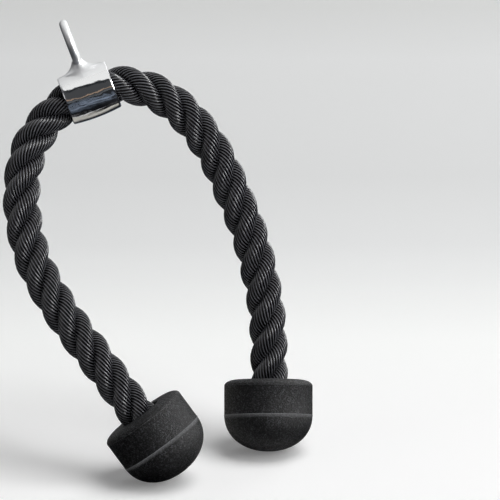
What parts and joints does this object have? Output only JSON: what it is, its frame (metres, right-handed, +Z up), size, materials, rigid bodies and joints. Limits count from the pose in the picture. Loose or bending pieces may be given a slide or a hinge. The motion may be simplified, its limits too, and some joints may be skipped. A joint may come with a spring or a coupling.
{
  "type": "triceps rope attachment",
  "caption": "Thick three-strand rope doubled through a cast eye sleeve, with a round rubber stopper that swivels on each end.",
  "frame": {"origin": "centre of the eye's hole, where the pulley's snap hook pulls", "axes": "+Z up, +Y away from the viewer, +X to the viewer's right; the rope's arch stands in a plane that leans 18 degrees back from upright, its top away from the viewer"},
  "size_m": [0.2282, 0.1724, 0.3163],
  "materials": {
    "polished_chrome": "polished",
    "black_rope": "twisted black yarn",
    "black_rubber": "fine matt grain",
    "zinc_steel": "bright zinc plate"
  },
  "bodies": {
    "sleeve": {"eye_sleeve": "polished_chrome", "rope_centre": "black_rope"},
    "left_upper": {"rope_left_upper": "black_rope"},
    "left_lower": {"rope_left_lower": "black_rope", "left_end_ferrule": "zinc_steel", "left_thrust_washer": "zinc_steel"},
    "left_stopper": {"left_stopper_collar": "black_rubber", "left_stopper_dome": "black_rubber"},
    "right_upper": {"rope_right_upper": "black_rope"},
    "right_lower": {"rope_right_lower": "black_rope", "right_end_ferrule": "zinc_steel", "right_thrust_washer": "zinc_steel"},
    "right_stopper": {"right_stopper_collar": "black_rubber", "right_stopper_dome": "black_rubber"}
  },
  "joints": [
    {"name": "left_shoulder_bend", "type": "hinge", "parent": "sleeve", "child": "left_upper", "pos_m": [-0.02443, -0.02425, -0.06148], "axis": [0, 0.9511, -0.309], "range_deg": [-10, 45]},
    {"name": "left_mid_bend", "type": "hinge", "parent": "left_upper", "child": "left_lower", "pos_m": [-0.02226, -0.0763, -0.15363], "axis": [0, 0.9511, -0.309], "range_deg": [-20, 35]},
    {"name": "left_stopper_swivel", "type": "hinge", "parent": "left_lower", "child": "left_stopper", "pos_m": [0.05115, -0.11645, -0.24771], "axis": [-0.5912, 0.1649, 0.7895], "continuous": true},
    {"name": "right_shoulder_bend", "type": "hinge", "parent": "sleeve", "child": "right_upper", "pos_m": [0.06155, -0.00765, -0.03486], "axis": [0, -0.9511, 0.309], "range_deg": [-10, 45]},
    {"name": "right_mid_bend", "type": "hinge", "parent": "right_upper", "child": "right_lower", "pos_m": [0.12404, -0.016, -0.12177], "axis": [0, -0.9511, 0.309], "range_deg": [-20, 35]},
    {"name": "right_stopper_swivel", "type": "hinge", "parent": "right_lower", "child": "right_stopper", "pos_m": [0.14555, -0.04569, -0.24577], "axis": [0, 0.3665, 0.9304], "continuous": true}
  ]
}
